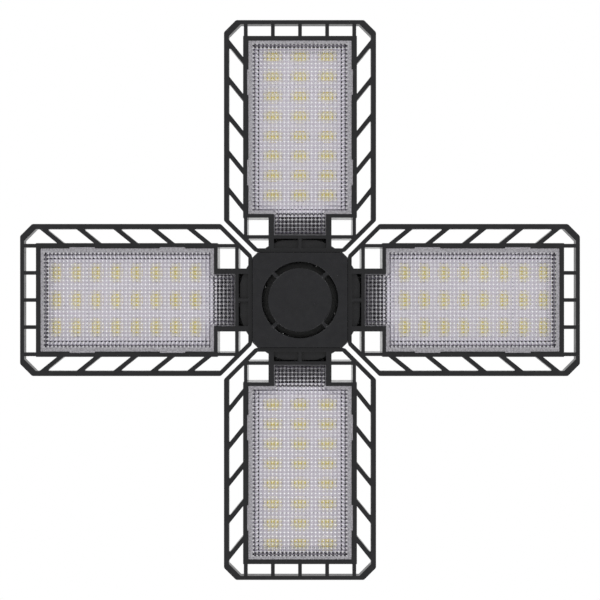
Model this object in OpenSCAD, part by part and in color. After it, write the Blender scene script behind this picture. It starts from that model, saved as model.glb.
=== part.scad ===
// Folding garage light for a screw socket: four hinged LED panels round a hub.
// Z points up, towards the socket. The origin is the centre of the seat where the
// screw shell meets the neck, and the light hangs below it. Sizes are in millimetres.
//
// The pieces below the seat are drawn with z = 0 at the front plane of the open panels
// and are then lowered by seat_z. A panel is drawn along +X: x is the distance from the
// hub's axis, y is the place across the panel. on_side() turns it to its side of the hub.

/* [Lens and LED board] */
// Width of the lens cover
lens_w = 65.8; // [58:0.2:72]
// Length of the lens cover, without its tongue
lens_l = 110.6; // [95:0.2:125]
// Thickness of the lens plate
lens_t = 2.5; // [1.5:0.1:3]
// How far the lens lies behind the front of the bezel
lens_recess = 0.5; // [0.2:0.1:1]
// Gap between lens and bezel, each side
lens_gap = 0.1; // [0.05:0.05:0.2]
// Wall of the rim that spaces the lens from the ledge
lens_rim_t = 2.4; // [1.6:0.1:2.8]
// Wall of the rim round the lens's tongue
tongue_rim_t = 1; // [0.8:0.1:1.4]
// Length of a snap tab on the lens
tab_l = 16.2; // [10:0.2:20]
// How far a snap tab stands out
tab_out = 0.8; // [0.4:0.1:1]
// Distance from a lens end to the middle of its nearest tabs
tab_inset = 26.5; // [18:0.5:32]
// Width of the LED board
board_w = 56.6; // [54:0.1:58]
// Length of the LED board
board_l = 107; // [104:0.1:108]
// Distance of the LED board's near edge from the lens edge
board_inset = 0.5; // [0.3:0.1:1.2]
// Thickness of the LED board
board_t = 1.6; // [1:0.1:2]
// Gap between LED board and the ledge round it
board_gap = 0.15; // [0.1:0.05:0.3]
// LED chip, size across the panel
led_w = 5.7; // [3:0.1:7]
// LED chip, size along the panel
led_l = 3; // [2:0.1:4]
// LED chip, height above the board
led_h = 0.8; // [0.5:0.1:1.2]
// LED rows along a panel
led_rows = 8; // [6:1:8]
// Distance between LED rows
led_row_pitch = 12.7; // [10:0.1:13]
// Distance between the three LED columns
led_col_pitch = 17.45; // [12:0.05:19]
// Distance from the board's near edge to the first LED row
led_first = 11.6; // [8:0.1:14]

/* [Panel frame] */
// Thickness of the open truss
truss_t = 5.4; // [3.6:0.1:5.8]
// Thickness of the bars right in front of the hub
lattice_t = 3; // [2:0.1:3.4]
// Depth of the bezel round the lens
bezel_t = 8; // [7.4:0.1:9]
// Width of the long bezel bars
bezel_w = 3.3; // [3:0.1:4]
// Width of the far bezel bar
far_bezel_w = 2.8; // [2:0.1:4]
// Width of the open bays beside the lens
side_bay_w = 8.9; // [7:0.1:11]
// Width of the outer side bars
side_bar_w = 3.3; // [2.5:0.1:4.5]
// Length of the open bays past the far bezel bar
far_bay_l = 7.5; // [5:0.1:10]
// Width of the far rim
far_rim_w = 2.6; // [2:0.1:4]
// Size of the far corners' 45 degree cut
far_cut = 7.7; // [6:0.1:11]
// Width of the bars along the far corner cuts
far_cut_w = 4; // [2:0.1:5]
// Width of the bars along the near 45 degree mitres
mitre_w = 2.8; // [2:0.1:3.4]
// Distance of the mitre from the 45 degree line, along the panel
mitre_gap = 2; // [1.6:0.1:3]
// Fillet of the outline's corners
corner_r = 2; // [0.5:0.1:3]
// Number of struts between far bezel bar and far rim
far_struts = 5; // [3:2:7]
// Width of the far struts
far_strut_w = 2.4; // [1.6:0.1:3]
// Size of a slanted side strut along the panel
side_strut_l = 4.5; // [3:0.1:6]
// How far a slanted side strut runs back towards the hub
side_strut_run = 11.1; // [8:0.1:14]
// Distance between side struts
side_strut_pitch = 23.5; // [20:0.1:26]
// Width of the bar at the hub
end_bar_w = 2.6; // [2:0.1:3.2]
// Width of the two cross bars of the neck
neck_bar_w = 2.3; // [1.8:0.1:3]
// Length of the two windows in the neck
window_l = 11.1; // [9:0.1:13]
// Half width of the lens tongue's slot
tongue_half = 16.6; // [14:0.1:18]
// Width of the two legs that run to the hub
leg_w = 3.5; // [2.2:0.1:4]
// Width of the neck's outer walls
neck_wall_w = 2.2; // [1.6:0.1:2.6]
// Width of the middle rib between neck and end bar
rib_w = 2.1; // [1.5:0.1:3]

/* [Heat sink] */
// Thickness of the heat sink's plate
sink_t = 2.5; // [2:0.1:3]
// Height of the fins
fin_h = 9.5; // [6:0.1:10]
// Thickness of a fin
fin_t = 1.6; // [1:0.1:2.2]
// Number of fins
fins = 10; // [6:1:12]
// Distance of the outer fins from the plate's edge
fin_inset = 4.4; // [4.2:0.1:8]

/* [Hinges] */
// Distance of the hinge axes from the hub's axis
hinge_x = 43; // [42.6:0.1:43.6]
// Height of the hinge axes behind the panels' front plane
hinge_z = 16; // [15.4:0.1:16.4]
// Radius of the hinge pins
pin_r = 1.5; // [1:0.1:2]
// Radius of the hub's knuckles
knuckle_r = 4.5; // [3.5:0.1:4.6]
// Half width of a side's pair of knuckles
knuckle_half = 14.9; // [12:0.1:15]
// Half width of the gap between the knuckles, for the leads
lead_gap_half = 4; // [3.6:0.1:6]
// Radius of the panel's hinge lugs
lug_r = 4.3; // [3.5:0.1:4.3]
// Thickness of a friction washer
washer_t = 0.6; // [0.4:0.1:1]
// Radius of a friction washer
washer_r = 3.9; // [3:0.1:4.2]
// Side play beside a friction washer
washer_gap = 0.1; // [0.05:0.05:0.15]
// Running clearance of the pins in the knuckles
run_gap = 0.05; // [0.02:0.01:0.08]
// Clearance of the pins in the lugs
fit_gap = 0.02; // [0.01:0.01:0.04]

/* [Hub] */
// Width of the front cap across its flats
cap_w = 60.3; // [60:0.1:62]
// Size of the cap's cut corners
cap_cut = 3.2; // [2.5:0.1:4]
// Thickness of the front cap
cap_t = 3; // [2.6:0.1:4]
// How far the cap stands in front of the panels
cap_proud = 4; // [3.6:0.1:6]
// Gap between the cap and the end bars
cap_gap = 0.25; // [0.2:0.05:0.4]
// Outer radius of the ring vent
vent_out_r = 24.2; // [23:0.1:24.2]
// Inner radius of the ring vent
vent_in_r = 20.3; // [19:0.1:21]
// Width of the webs across the ring vent
vent_web_w = 2.4; // [1.6:0.1:4]
// How deep the cap's webs lie in the ring vent
vent_web_depth = 1; // [0.4:0.1:1.6]
// Radius of the hub's disc
disc_r = 40; // [39.4:0.1:40.2]
// Distance of the disc's four flats from the axis
flat_x = 38.65; // [37.6:0.05:38.7]
// Gap between the disc and the panels' neck
flat_gap = 0.45; // [0.4:0.05:1]
// Height of the disc
disc_h = 18.8; // [18.4:0.1:20]
// Gap between the open panels' end bars and the disc
stop_gap = 0.2; // [0.1:0.05:0.3]
// Inner radius of the hinge ring
cavity_r = 32.5; // [32:0.1:33.5]
// Thickness of the hinge ring's floor
floor_t = 3.1; // [2.4:0.1:4]
// Radius of the driver housing's wall at its foot
housing_r = 34; // [33.4:0.1:34.2]
// Radius of the driver housing's wall at its top
housing_top_r = 31; // [30:0.1:33]
// Wall of the driver housing
housing_wall = 2.4; // [1.8:0.1:2.6]
// Height of the driver housing
housing_h = 40; // [36:0.5:50]
// Number of ribs round the driver housing
housing_ribs = 36; // [24:4:40]
// How far the ribs stand out
rib_out = 2.5; // [1:0.1:2.6]
// Number of vent slots in the driver housing's roof
roof_vents = 18; // [8:1:20]
// Height of the neck
neck_h = 14; // [10:0.5:20]
// Radius of the neck's foot
neck_foot_r = 21.5; // [20:0.5:23]
// Radius of the neck at the screw shell
neck_top_r = 17; // [15:0.5:18]
// Radius of the neck's bore
neck_bore_r = 9.5; // [9:0.1:10]

/* [Screw base] */
// Radius over the thread's crests
thread_r = 13.05; // [13:0.01:13.15]
// Depth of the thread
thread_depth = 0.9; // [0.7:0.05:0.95]
// Pitch of the thread
thread_pitch = 3.63; // [3.6:0.01:3.66]
// Height of the screw shell
shell_h = 22.4; // [22:0.1:24]
// Sheet thickness of the screw shell
shell_t = 0.35; // [0.3:0.01:0.37]
// Height of the insulator above the shell
insulator_h = 3; // [2.4:0.1:4]
// Height of the centre contact above the insulator
contact_h = 1.8; // [1:0.1:2.4]
// Radius of the centre contact
contact_r = 4.6; // [3.8:0.1:5]

/* [Driver and wires] */
// Radius of the driver board
pcb_r = 26; // [25.8:0.1:26.5]
// Thickness of the driver board
pcb_t = 1.6; // [1.2:0.1:2]
// Height of the driver board above the hinge ring
pcb_lift = 2; // [1:0.1:3]
// Radius of the circle of the board's screws
pcb_screw_x = 15; // [14.6:0.1:15.4]
// Radius of the insulated leads to the panels
lead_r = 0.6; // [0.4:0.05:0.7]
// Radius of the insulated supply wires
supply_r = 0.8; // [0.6:0.05:0.9]
// Radius of the smoothing capacitor
smooth_cap_r = 5; // [4:0.1:6]
// Height of the smoothing capacitor
smooth_cap_h = 20; // [16:0.5:24]
// Radius of the input capacitor
input_cap_r = 4; // [3:0.1:5]
// Height of the input capacitor
input_cap_h = 14; // [10:0.5:20]
// Distance of both capacitors from the board's middle
driver_caps_y = 16; // [15:0.1:17]
// Length of the transformer's core
core_l = 20; // [16:0.5:22]
// Depth of the transformer's core
core_d = 12; // [10:0.5:12]
// Height of the transformer's core
core_h = 16; // [12:0.5:20]
// Thickness of the core's legs
core_t = 4; // [3:0.1:5]
// Depth of the transformer's winding
winding_d = 14; // [12:0.5:16]
// Height of the transformer's foot
foot_h = 3; // [2:0.1:4]
// Radius of the two upright coils
coil_r = 3.8; // [3:0.1:4.2]
// Height of the two upright coils
coil_h = 8; // [6:0.5:12]
// Radius of the lying resistor
resistor_r = 2.4; // [2:0.1:3]
// Length of the lying resistor
resistor_l = 12; // [8:0.5:12]
// Length of the film capacitor
film_l = 12; // [8:0.5:12]
// Thickness of the film capacitor
film_w = 5.5; // [4:0.1:6]
// Height of the film capacitor
film_h = 10; // [8:0.5:14]
// Width of the terminal block of the supply wires
terminal_w = 6; // [5:0.1:6]

/* [Screws] */
// Radius of the small screws' shanks
screw_r = 1.05; // [0.9:0.01:1.1]
// Clearance of a screw in its pilot hole
pilot_gap = 0.05; // [0.03:0.01:0.06]
// Clearance of a screw in a plain hole
hole_gap = 0.15; // [0.1:0.01:0.2]
// Radius of the small screws' heads
head_r = 1.65; // [1.5:0.05:1.65]
// Height of the screw heads
head_h = 1.4; // [1:0.1:1.6]
// Radius of the housing screws' shanks
big_screw_r = 1.45; // [1.2:0.05:1.5]
// Radius of the housing screws' heads
big_head_r = 2.8; // [2.4:0.1:2.8]

/* [Hidden] */
$fn = 64;
EPS = 0.01;
SIDES = [1, 2, 3, 4];
PANEL_PARTS = ["frame", "heat_sink", "led_board", "led_chips", "lens", "hinge_pin",
    "friction_washers", "back_screws", "leads"];
HUB_PARTS = ["screw_shell", "shell_insulator", "centre_contact", "base_neck",
    "driver_housing", "hinge_ring", "front_cap", "cap_screws", "housing_screws",
    "driver_board", "board_screws", "driver_transformer", "driver_capacitors",
    "driver_small_parts", "supply_wires", "hub_leads"];

// Across the panel
open_half = lens_w / 2 + lens_gap;
bezel_half = open_half + bezel_w;
bezel_mid = open_half + bezel_w / 2;
bay_half = bezel_half + side_bay_w;
frame_half = bay_half + side_bar_w;
leg_out = tongue_half + leg_w;
wall_in = bezel_mid - neck_wall_w / 2;
wall_out = bezel_mid + neck_wall_w / 2;

// Along the panel, from the hub outwards
end_in = cap_w / 2 + cap_gap;
end_out = end_in + end_bar_w;
end_half = cap_w / 2 - cap_cut;
bar_b_in = flat_x + flat_gap;
bar_b_out = bar_b_in + neck_bar_w;
bar_a_in = bar_b_out + window_l;
open_in = bar_a_in + neck_bar_w;
lens_in = open_in + lens_gap;
lens_out = lens_in + lens_l;
open_out = lens_out + lens_gap;
board_in = lens_in + board_inset;
board_out = board_in + board_l;
bezel_out = open_out + far_bezel_w;
rim_in = bezel_out + far_bay_l;
reach = rim_in + far_rim_w;

// Heights above the front plane
tongue_z = lens_recess + lens_t;
board_z = bezel_t - board_t;
sink_z = bezel_t + sink_t;
back_z = sink_z + fin_h;
disc_z = lattice_t + stop_gap;
floor_z = disc_z + floor_t;
ring_top_z = disc_z + disc_h;
cap_back_z = cap_t - cap_proud;
pcb_z = ring_top_z + pcb_lift;
parts_z = pcb_z + pcb_t;
housing_top_z = ring_top_z + housing_h;
seat_z = housing_top_z + neck_h;

// Hub screws: the circles that they stand on
cap_screw_x = vent_out_r + 4.8;
housing_screw_x = vent_out_r + 3.4;
post_r = 3.3;
roof_t = 2.5;
neck_spigot_r = 13.8;
collar_r = thread_r - thread_depth - shell_t - run_gap;
collar_h = shell_h - 3.4;
insulator_r = 8.8;
contact_stem_r = 2.8;
screw_rows = [open_in + 5.2, (open_in + open_out) / 2, open_out - 5.2];

// Where the leads run behind a panel: their height, and half the width that they need
lead_x = open_in + 5.2;
lead_z = sink_z + 2 * lead_r;
lead_half = 2.4;

// Routes of the wires, by hand: along the panel, across it, height above the front plane.
// The supply wires start at the terminal block.
PANEL_LEAD = [[lead_x, 1.6, board_z - 0.2], [lead_x, 1.6, sink_z - 1.1],
    [lead_x - 0.8, 1.6, lead_z - 0.4], [lead_x - 3, 1.6, lead_z], [lead_x - 6, 1.6, lead_z],
    [lead_x - 9, 1.6, lead_z + 0.2], [48.5, 1.5, 13.2], [46.2, 1.2, 15.2]];
HUB_LEAD = [[23.6, 1.6, 26.3], [26.6, 1.6, 26.3], [28.6, 1.6, 24], [29.6, 1.6, 20],
    [31.4, 1.5, 16.8], [35, 1.3, 16], [39.8, 1.2, 16]];
TERMINAL = [-13, -17];
SUPPLY_LIVE = [[-14.6, -17, 32.6], [-14, -15, 38], [-9, -9, 48], [-4, -4, 58],
    [-1, -1, 70], [0, 0, 84], [0, 0, 97]];
SUPPLY_NEUTRAL = [[-11.6, -17, 32.6], [-10.6, -14, 39], [-3, -8, 50], [4, -4, 60],
    [7, -1, 74], [7.6, 0, 88], [7.8, 0, 91.4], [8.8, 0, 93.4], [11, 0, 94]];

function unit(v) = v / norm(v);

// Arc that rounds the corner p between its neighbours a and b
function corner_arc(a, p, b, r, steps = 4) =
    let (u = unit(a - p),
         v = unit(b - p),
         half = acos(u * v) / 2,
         mid = p + unit(u + v) * r / sin(half),
         from = p + u * r / tan(half) - mid,
         to = p + v * r / tan(half) - mid,
         turn = 180 - 2 * half)
    [for (i = [0:steps])
        mid + from * sin(turn * (1 - i / steps)) / sin(turn) + to * sin(turn * i / steps) / sin(turn)];

// Closed outline from one side's points and their mirror images
function both_sides(side) =
    concat(side, [for (i = [len(side) - 1:-1:0]) [side[i].x, -side[i].y]]);

// Smooth curve through the points of a route
function curve_point(p, i, t) =
    let (a = p[max(i - 1, 0)], b = p[i], c = p[i + 1], d = p[min(i + 2, len(p) - 1)])
    0.5 * (2 * b + (c - a) * t + (2 * a - 5 * b + 4 * c - d) * t * t
        + (3 * b - a - 3 * c + d) * t * t * t);
function smooth(p, steps = 3) =
    concat([for (i = [0:len(p) - 2], k = [0:steps - 1]) curve_point(p, i, k / steps)],
        [p[len(p) - 1]]);

// Round tube along a route
module tube(route, r, sides = 8) {
    line = smooth(route);
    last = len(line) - 1;
    rings = [for (i = [0:last])
        let (along = unit(line[min(i + 1, last)] - line[max(i - 1, 0)]),
             u = unit(cross(along, [0, 1, 0.1])),
             v = cross(along, u))
        for (k = [0:sides - 1])
            line[i] + r * (cos(360 * k / sides) * u + sin(360 * k / sides) * v)];
    skin = [for (i = [0:last - 1], k = [0:sides - 1])
        let (a = i * sides + k, b = i * sides + (k + 1) % sides)
        each [[a, a + sides, b], [b, a + sides, b + sides]]];
    polyhedron(rings, concat(skin, [[for (k = [0:sides - 1]) k]],
        [[for (k = [sides - 1:-1:0]) last * sides + k]]));
}

module lowered() {
    translate([0, 0, -seat_z]) children();
}

module on_side(i) {
    rotate([0, 0, 90 * (i - 1)]) children();
}

module four_times(start = 0) {
    for (i = [0:3]) rotate([0, 0, start + 90 * i]) children();
}

module slab(x0, x1, y0, y1, z0, z1) {
    translate([x0, y0, z0]) cube([x1 - x0, y1 - y0, z1 - z0]);
}

// The same slab on both sides of the panel's middle line
module slabs(x0, x1, y0, y1, z0, z1) {
    slab(x0, x1, y0, y1, z0, z1);
    slab(x0, x1, -y1, -y0, z0, z1);
}

// Cylinder across the panel, centred on the hinge axis
module across(r, y0, y1) {
    translate([hinge_x, y0, hinge_z]) rotate([-90, 0, 0]) cylinder(r = r, h = y1 - y0);
}

// ---- Panel ----

module frame_outline() {
    lip = 0.7;
    a = [end_in + lip, end_in + lip - mitre_gap];
    b = [frame_half + mitre_gap, frame_half];
    c = [reach - far_cut, frame_half];
    d = [reach, frame_half - far_cut];
    polygon(both_sides(concat([[end_in, end_half], a], corner_arc(a, b, c, corner_r),
        corner_arc(b, c, d, corner_r), corner_arc(c, d, [d.x, -d.y], corner_r))));
}

module truss_opening() {
    mitre_in = mitre_gap + mitre_w * sqrt(2);
    cut_in = reach + frame_half - far_cut - far_cut_w * sqrt(2);
    polygon(both_sides([[end_out, end_out - mitre_in], [bay_half + mitre_in, bay_half],
        [cut_in - bay_half, bay_half], [rim_in, cut_in - rim_in]]));
}

module side_struts() {
    first = lens_out + 0.6;
    room = first - side_strut_l - side_strut_run - open_in;
    for (i = [0:floor(room / side_strut_pitch)]) {
        x = first - side_strut_pitch * i;
        polygon([[x, bay_half + EPS], [x - side_strut_l, bay_half + EPS],
            [x - side_strut_l - side_strut_run, bezel_half - EPS],
            [x - side_strut_run, bezel_half - EPS]]);
    }
}

module truss_bars() {
    difference() {
        frame_outline();
        truss_opening();
    }
    side_struts();
    mirror([0, 1]) side_struts();
    for (i = [0:far_struts - 1]) {
        y = bezel_mid * (2 * i / (far_struts - 1) - 1);
        translate([bezel_out - EPS, y - far_strut_w / 2])
            square([far_bay_l + 2 * EPS, far_strut_w]);
    }
    intersection() {
        frame_outline();
        union() {
            translate([bar_b_in, -wall_out]) square([neck_bar_w, 2 * wall_out]);
            translate([bar_b_in, -wall_out]) square([bar_a_in - bar_b_in, neck_wall_w]);
            translate([bar_b_in, wall_in]) square([bar_a_in - bar_b_in, neck_wall_w]);
        }
    }
    for (y = [tongue_half, -leg_out]) translate([end_in, y]) square([open_in - end_in, leg_w]);
    translate([end_out - EPS, -rib_w / 2]) square([bar_b_in - end_out + 2 * EPS, rib_w]);
}

module hinge_lug() {
    translate([0, knuckle_half + washer_t + 2 * washer_gap, 0])
        rotate([90, 0, 0]) mirror([0, 0, 1])
            linear_extrude(leg_out - knuckle_half - washer_t - 2 * washer_gap) {
                translate([hinge_x, hinge_z]) circle(lug_r);
                polygon([[hinge_x - lug_r, hinge_z], [bar_b_in, bezel_t - EPS],
                    [bar_a_in, bezel_t - EPS], [hinge_x + lug_r, hinge_z]]);
            }
}

// Space that the hub's disc takes behind the bars
module disc_relief() {
    intersection() {
        translate([0, 0, lattice_t]) cylinder(r = disc_r + 0.6, h = back_z);
        slab(0, bar_b_in - 0.1, -disc_r, disc_r, 0, 2 * back_z);
    }
}

module panel_frame() {
    color("#303032") difference() {
        union() {
            linear_extrude(truss_t) truss_bars();
            // bezel round the lens
            slabs(bar_a_in, bezel_out, open_half, bezel_half, 0, bezel_t);
            slab(open_out, bezel_out, -bezel_half, bezel_half, 0, bezel_t);
            // wall between neck and heat sink, open for the tongue
            slabs(bar_a_in, open_in, tongue_half, bezel_half, 0, back_z);
            slab(bar_a_in, open_in, -tongue_half, tongue_half, board_z, back_z);
            // neck: walls round the windows, walls and floor behind the tongue
            slabs(bar_b_in, bar_a_in + EPS, wall_in, wall_out, 0, back_z);
            slabs(bar_b_in, bar_b_out, leg_out - EPS, wall_out, 0, back_z);
            slabs(bar_b_in, open_in, tongue_half, leg_out, 0, bezel_t);
            slab(bar_b_in, bar_b_out, -tongue_half, tongue_half, 0, bezel_t);
            slab(bar_b_in, open_in, -tongue_half, tongue_half, board_z, bezel_t);
            // ledge that the lens sits on, round the LED board
            slab(open_in - EPS, open_out + EPS, -open_half - EPS, open_half + EPS, board_z, bezel_t);
            hinge_lug();
            mirror([0, 1, 0]) hinge_lug();
        }
        slab(board_in - board_gap, board_out + board_gap, -board_w / 2 - board_gap,
            board_w / 2 + board_gap, board_z - 1, bezel_t + 1);
        disc_relief();
        across(pin_r + fit_gap, -leg_out - 1, leg_out + 1);
        // slot for the leads
        slab(bar_a_in - 1, open_in + 1, -lead_half, lead_half, sink_z, lead_z + 1.2);
        // pockets for the lens tabs
        for (x = [lens_in + tab_inset, lens_out - tab_inset])
            slabs(x - tab_l / 2 - lens_gap, x + tab_l / 2 + lens_gap, open_half - EPS,
                open_half + tab_out, -1, tongue_z + lens_gap);
        for (x = screw_rows, y = [-bezel_mid, bezel_mid])
            translate([x, y, tongue_z + 0.4])
                cylinder(r = screw_r + pilot_gap, h = bezel_t);
    }
}

module panel_heat_sink() {
    fin_pitch = 2 * (bezel_half - fin_inset - fin_t / 2) / (fins - 1);
    color("#a9abae") difference() {
        union() {
            slab(lens_in, bezel_out, -bezel_half, bezel_half, bezel_t, sink_z);
            for (i = [0:fins - 1])
                translate([0, (i - (fins - 1) / 2) * fin_pitch, 0])
                    slab(lens_in, bezel_out, -fin_t / 2, fin_t / 2, sink_z - EPS, back_z);
        }
        for (x = screw_rows, y = [-bezel_mid, bezel_mid])
            translate([x, y, bezel_t - 1]) cylinder(r = screw_r + hole_gap, h = sink_t + 2);
        // room for the leads
        slab(lens_in - 1, lead_x, -lead_half, lead_half, sink_z, back_z + 1);
        slab(lead_x - 1.6, lead_x + 1, -lead_half, lead_half, bezel_t - 1, back_z + 1);
    }
}

module panel_led_board() {
    color("#f2f1ee") difference() {
        slab(board_in, board_out, -board_w / 2, board_w / 2, board_z, bezel_t);
        for (y = [-1.6, 1.6]) translate([lead_x, y, board_z - 1])
            cylinder(r = lead_r + hole_gap, h = board_t + 2, $fn = 24);
    }
}

module panel_led_chips() {
    color("#f3d85a") for (i = [0:led_rows - 1], j = [-1:1])
        translate([board_in + led_first + i * led_row_pitch, j * led_col_pitch, 0])
            slab(-led_l / 2, led_l / 2, -led_w / 2, led_w / 2, board_z - led_h, board_z);
}

module panel_lens() {
    tongue_in = bar_b_out + lens_gap;
    tongue_w = tongue_half - lens_gap;
    color("#cfcbd6", 0.6) difference() {
        union() {
            slab(lens_in, lens_out, -lens_w / 2, lens_w / 2, lens_recess, board_z);
            slab(tongue_in, lens_in + EPS, -tongue_w, tongue_w, lens_recess, board_z);
            for (x = [lens_in + tab_inset, lens_out - tab_inset])
                slabs(x - tab_l / 2, x + tab_l / 2, lens_w / 2 - EPS, lens_w / 2 + tab_out,
                    lens_recess, tongue_z);
        }
        slab(lens_in + lens_rim_t, lens_out - lens_rim_t, -lens_w / 2 + lens_rim_t,
            lens_w / 2 - lens_rim_t, tongue_z, board_z + 1);
        slab(tongue_in + tongue_rim_t, lens_in + lens_rim_t + EPS, -tongue_w + tongue_rim_t,
            tongue_w - tongue_rim_t, tongue_z, board_z + 1);
    }
}

module panel_hinge_pin() {
    flush = 0.1;
    color("#c4c6c9") across(pin_r, -leg_out + flush, leg_out - flush);
}

module panel_friction_washers() {
    y0 = knuckle_half + washer_gap;
    color("#8f9296") difference() {
        for (y = [y0, -y0 - washer_t]) across(washer_r, y, y + washer_t);
        across(pin_r + hole_gap, -y0 - washer_t - 1, y0 + washer_t + 1);
    }
}

module screw(r, length, cap_r, cap_h) {
    slot = cap_r * 0.5;
    difference() {
        union() {
            translate([0, 0, -length]) cylinder(r = r, h = length + EPS);
            cylinder(r = cap_r, h = cap_h);
        }
        for (a = [0, 90]) rotate([0, 0, a])
            slab(-cap_r * 0.65, cap_r * 0.65, -slot / 2, slot / 2, cap_h * 0.5, cap_h + 1);
    }
}

module panel_back_screws() {
    color("#3a3a3c") for (x = screw_rows, y = [-bezel_mid, bezel_mid])
        translate([x, y, sink_z]) screw(screw_r, sink_z - tongue_z - 0.6, head_r, head_h);
}

module panel_leads() {
    color("#e8e6e2") {
        tube(PANEL_LEAD, lead_r);
        mirror([0, 1, 0]) tube(PANEL_LEAD, lead_r);
    }
}

// ---- Hub ----

module cut_square(half, cut) {
    side = half - cut;
    polygon([[half, -side], [half, side], [side, half], [-side, half],
        [-half, side], [-half, -side], [-side, -half], [side, -half]]);
}

// Ring vent, without the webs that cross it
module vent_ring(z0, z1) {
    translate([0, 0, z0]) difference() {
        cylinder(r = vent_out_r, h = z1 - z0, $fn = 96);
        translate([0, 0, -1]) cylinder(r = vent_in_r, h = z1 - z0 + 2, $fn = 96);
        for (a = [45, 135]) rotate([0, 0, a])
            slab(-disc_r, disc_r, -vent_web_w / 2, vent_web_w / 2, -1, z1 - z0 + 1);
    }
}

module front_cap() {
    color("#2f2f31") difference() {
        translate([0, 0, -cap_proud]) linear_extrude(cap_t) cut_square(cap_w / 2, cap_cut);
        vent_ring(-cap_proud - 1, cap_back_z + 1);
        // the webs lie a little deeper than the face
        translate([0, 0, -cap_proud - 1]) difference() {
            cylinder(r = vent_out_r, h = 1 + vent_web_depth, $fn = 96);
            translate([0, 0, -1]) cylinder(r = vent_in_r, h = 3 + vent_web_depth, $fn = 96);
        }
        four_times(45) translate([cap_screw_x, 0, cap_back_z - 2.2])
            cylinder(r = screw_r + pilot_gap, h = 3);
    }
}

module cap_screws() {
    color("#8c8f93") four_times(45) translate([cap_screw_x, 0, floor_z])
        screw(screw_r, floor_z - cap_back_z + 2, head_r, head_h);
}

// Two knuckles and the web that carries them, on the +X side
module knuckles() {
    apron_z = hinge_z + lug_r + 0.3;
    apron_half = leg_out - 0.4;
    for (y = [lead_gap_half, -knuckle_half]) {
        w = knuckle_half - lead_gap_half;
        across(knuckle_r, y, y + w);
        slab(cavity_r + 1.5, hinge_x, y, y + w, hinge_z - knuckle_r, hinge_z + knuckle_r);
        slab(cavity_r + 1.5, hinge_x - 1, y, y + w, hinge_z, apron_z + EPS);
    }
    // apron behind the knuckles, so that nothing shines through beside the disc
    slab(cavity_r + 1.5, hinge_x - 1, -apron_half, apron_half, apron_z, ring_top_z);
}

module hinge_ring() {
    cap_seat_half = cap_w / 2 - cap_gap;
    color("#2b2b2d") difference() {
        union() {
            intersection() {
                translate([0, 0, disc_z]) cylinder(r = disc_r, h = disc_h, $fn = 128);
                slab(-flat_x, flat_x, -flat_x, flat_x, disc_z - 1, ring_top_z + 1);
            }
            translate([0, 0, cap_back_z]) linear_extrude(disc_z - cap_back_z + 1)
                cut_square(cap_seat_half, cap_cut);
            four_times() knuckles();
        }
        difference() {
            translate([0, 0, floor_z]) cylinder(r = cavity_r, h = disc_h, $fn = 128);
            // posts of the housing screws, tied to the wall, and posts of the board
            four_times(22.5) {
                translate([housing_screw_x, 0, 0]) cylinder(r = post_r, h = ring_top_z);
                slab(housing_screw_x, cavity_r + 1, -1, 1, 0, ring_top_z);
            }
            four_times(45) translate([pcb_screw_x, 0, 0]) cylinder(r = post_r, h = pcb_z);
        }
        vent_ring(cap_back_z - 1, floor_z + 1);
        four_times(22.5) translate([housing_screw_x, 0, cap_back_z - 1]) {
            cylinder(r = big_screw_r + hole_gap, h = seat_z);
            cylinder(r = big_head_r + hole_gap, h = 4);
        }
        four_times(45) translate([cap_screw_x, 0, cap_back_z - 1])
            cylinder(r = screw_r + hole_gap, h = floor_z - cap_back_z + 2);
        four_times(45) translate([pcb_screw_x, 0, pcb_z - 6])
            cylinder(r = screw_r + pilot_gap, h = 7);
        four_times() {
            across(pin_r + run_gap, -knuckle_half - 1, knuckle_half + 1);
            slab(cavity_r - 1, flat_x + 1, -lead_gap_half + 1, lead_gap_half - 1,
                hinge_z - 1.6, hinge_z + 1.6);
        }
    }
    // the posts above the ring's top
    color("#2b2b2d") four_times(45) translate([pcb_screw_x, 0, ring_top_z - 1]) difference() {
        cylinder(r = post_r, h = pcb_lift + 1);
        translate([0, 0, -1]) cylinder(r = screw_r + pilot_gap, h = pcb_lift + 3);
    }
}

module housing_screws() {
    head_top = cap_back_z + 3;
    color("#8c8f93") four_times(22.5) translate([housing_screw_x, 0, head_top])
        mirror([0, 0, 1]) screw(big_screw_r, ring_top_z + 10 - head_top, big_head_r, 2.4);
}

module driver_housing() {
    z0 = ring_top_z;
    inner_r = housing_r - housing_wall;
    color("#2d2d2f") difference() {
        union() {
            rotate_extrude($fn = 128) polygon([[inner_r, z0], [housing_r, z0],
                [housing_top_r, housing_top_z - 2], [housing_top_r - 2, housing_top_z],
                [neck_spigot_r + fit_gap, housing_top_z],
                [neck_spigot_r + fit_gap, housing_top_z - roof_t],
                [housing_top_r - housing_wall, housing_top_z - roof_t]]);
            for (i = [0:housing_ribs - 1]) rotate([90, 0, (i + 0.5) * 360 / housing_ribs])
                linear_extrude(1.6, center = true) polygon([[housing_r - 1, z0],
                    [housing_r + rib_out, z0], [housing_top_r + rib_out, housing_top_z - 6],
                    [housing_top_r - 1, housing_top_z - 3]]);
            four_times(22.5) {
                translate([housing_screw_x, 0, z0]) cylinder(r = post_r, h = 14);
                slab(housing_screw_x, inner_r + 1, -1, 1, z0, z0 + 14);
            }
        }
        four_times(22.5) translate([housing_screw_x, 0, z0 - 1])
            cylinder(r = big_screw_r + pilot_gap, h = 12.5);
        // vent slots in the roof
        for (i = [0:roof_vents - 1]) rotate([0, 0, i * 360 / roof_vents])
            slab(neck_foot_r + 1.2, housing_top_r - 2.6, -1.1, 1.1,
                housing_top_z - roof_t - 1, housing_top_z + 1);
    }
}

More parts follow.
